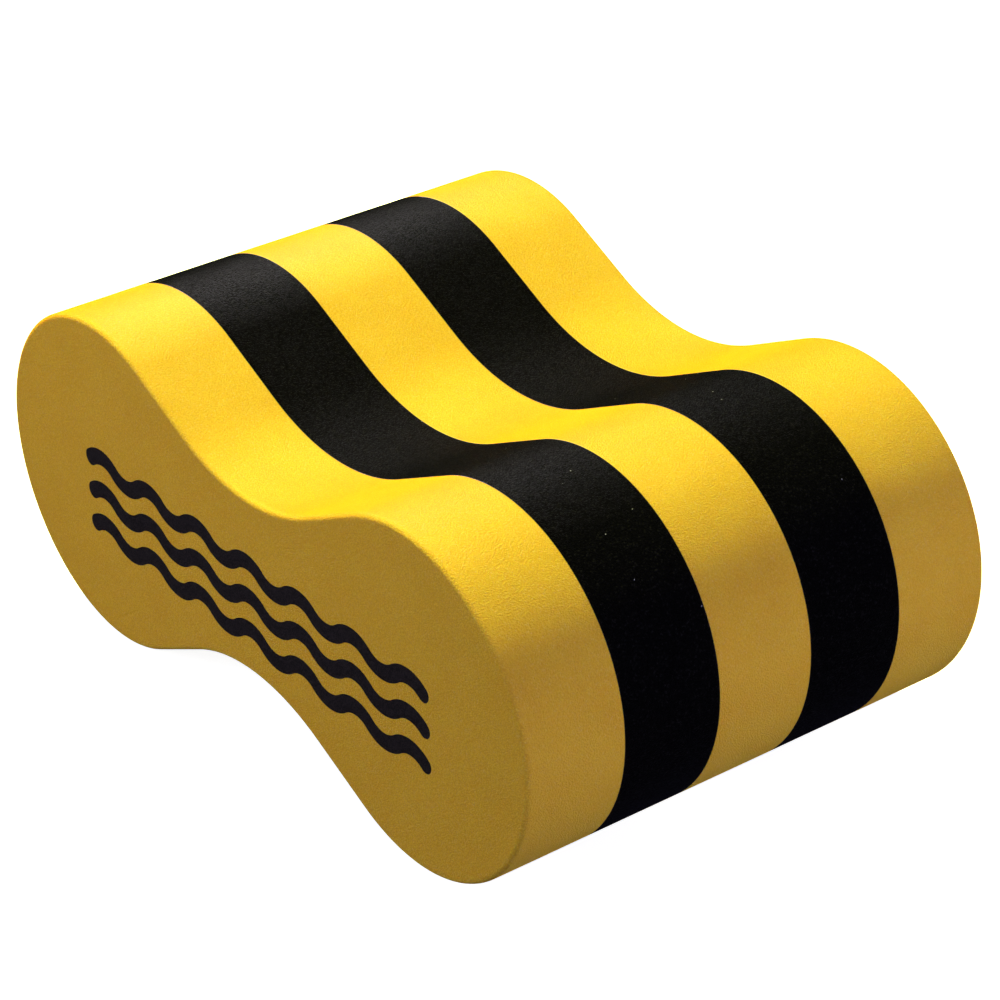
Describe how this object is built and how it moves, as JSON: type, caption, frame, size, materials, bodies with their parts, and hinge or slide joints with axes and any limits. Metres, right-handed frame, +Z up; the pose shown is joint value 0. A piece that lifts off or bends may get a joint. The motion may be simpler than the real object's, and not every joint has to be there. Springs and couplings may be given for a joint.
{
  "type": "pull buoy",
  "caption": "Laminated foam leg float for swim training: a peanut-shaped block of striped sheets with a thigh hollow above and below.",
  "frame": {"origin": "on the ground, midway between the two lobes and midway between the front face and the rear face", "axes": "+X along the length, from one lobe to the other; +Y through the stack of sheets, from the printed front face to the plain rear face; +Z up, through the waist"},
  "size_m": [0.24, 0.15, 0.098],
  "materials": {
    "yellow_foam": "matte",
    "black_foam": "matte",
    "adhesive": "matte",
    "black_ink": "matte"
  },
  "bodies": {
    "root": {"front_slab": "yellow_foam", "front_stripe_slab": "black_foam", "centre_slab": "yellow_foam", "rear_stripe_slab": "black_foam", "rear_slab": "yellow_foam", "front_glue_film": "adhesive", "front_stripe_glue_film": "adhesive", "rear_stripe_glue_film": "adhesive", "rear_glue_film": "adhesive", "printed_waves": "black_ink"}
  },
  "joints": []
}
